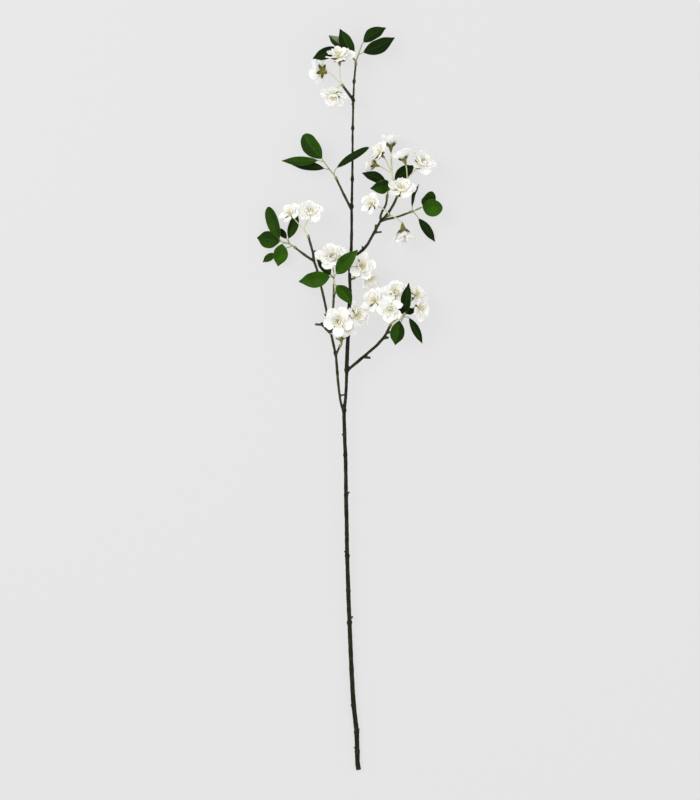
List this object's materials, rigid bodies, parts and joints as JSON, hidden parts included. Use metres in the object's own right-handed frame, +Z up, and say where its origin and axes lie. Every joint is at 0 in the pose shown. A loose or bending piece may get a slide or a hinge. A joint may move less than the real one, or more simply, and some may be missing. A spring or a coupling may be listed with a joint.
{
  "type": "almond blossom branch",
  "caption": "Cut branch lying on a surface: a long bare woody stem that forks into thin twigs with white blossoms and green leaf shoots.",
  "frame": {"origin": "middle of the bounding box, on the surface that the branch lies on", "axes": "+Y along the branch from the cut end to the tip, +Z up from the surface, +X to the right seen from above with the tip ahead"},
  "size_m": [0.28, 1.117, 0.0806],
  "materials": {
    "bark": "dark grey-brown bark, rough",
    "leaves": "deep green leaf, slightly waxy",
    "flower_stalks": "olive green stalks and calyces, cream stamens",
    "petals": "soft white petals"
  },
  "bodies": {
    "root": {"woody_branch": "bark", "leaves_top": "leaves", "leaves_mid_left": "leaves", "leaves_back_left": "leaves", "leaves_back_right": "leaves", "leaves_far_left": "leaves", "leaves_inner_left": "leaves", "leaves_right": "leaves", "flower_stalks_a": "flower_stalks", "flower_stalks_b_top": "flower_stalks", "flower_stalks_b_axil": "flower_stalks", "flower_stalks_c": "flower_stalks", "flower_stalks_d": "flower_stalks", "flower_stalks_e": "flower_stalks", "flower_stalks_f": "flower_stalks", "flower_stalks_g": "flower_stalks", "flower_stalks_g_low": "flower_stalks", "petals_a1": "petals", "petals_a2": "petals", "petals_a3": "petals", "petals_b1": "petals", "petals_b2": "petals", "petals_b2b": "petals", "petals_b3": "petals", "petals_b4": "petals", "petals_b5": "petals", "petals_b6": "petals", "petals_b7": "petals", "petals_c1": "petals", "petals_c2": "petals", "petals_d1": "petals", "petals_e1": "petals", "petals_e2": "petals", "petals_f1": "petals", "petals_f2": "petals", "petals_f3": "petals", "petals_f4": "petals", "petals_f5": "petals", "petals_f6": "petals", "petals_g1": "petals", "petals_g2": "petals", "petals_g3": "petals", "petals_g4": "petals"}
  },
  "joints": []
}
